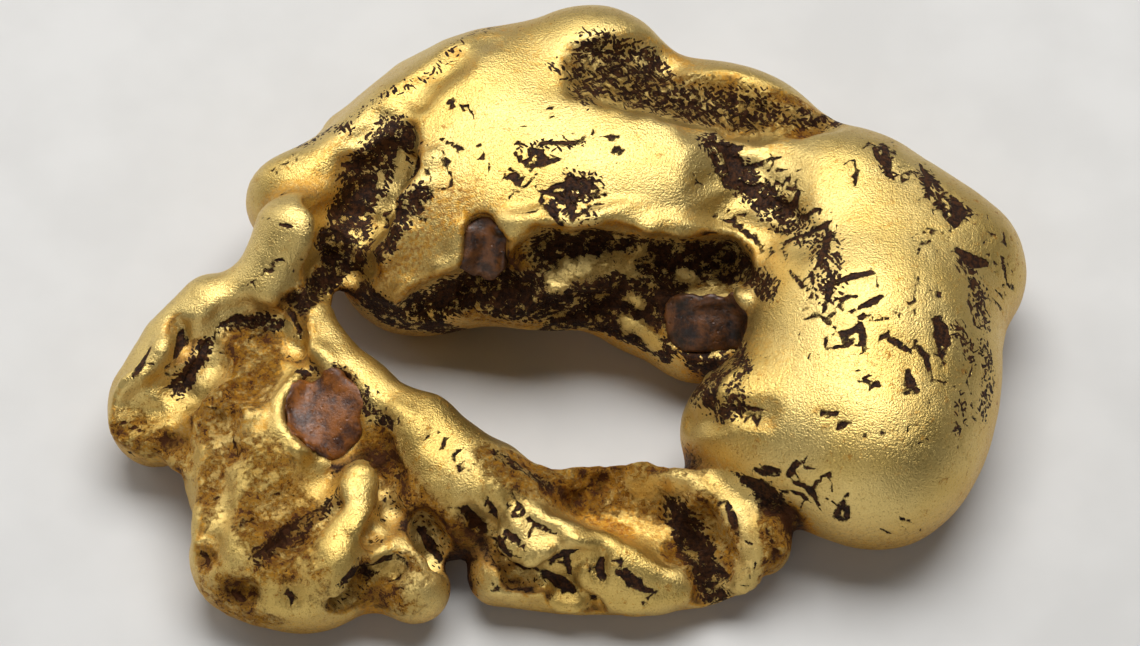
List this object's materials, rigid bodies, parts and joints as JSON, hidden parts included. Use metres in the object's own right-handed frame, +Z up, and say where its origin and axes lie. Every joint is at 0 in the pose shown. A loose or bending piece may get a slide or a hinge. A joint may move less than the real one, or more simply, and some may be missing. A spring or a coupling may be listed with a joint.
{
  "type": "gold nugget",
  "caption": "Water-worn natural gold nugget: a thick rounded arm curls over a thinner crusted arm, and the two close a ring round an open gap.",
  "frame": {"origin": "on the resting plane, under the middle of the nugget's length and depth", "axes": "+X along the nugget's length towards the thick arm's round end, +Y towards the back, where the thick arm lies, +Z up"},
  "size_m": [0.06, 0.0442, 0.0137],
  "materials": {
    "gold": "satin, water-worn, with dark brown stain in the hollows",
    "brown_stone": "rough iron-stained quartz",
    "dark_stone": "pitted ironstone"
  },
  "bodies": {
    "root": {"gold_nugget": "gold", "brown_stone": "brown_stone", "dark_stone": "dark_stone", "inner_stone": "dark_stone"}
  },
  "joints": []
}
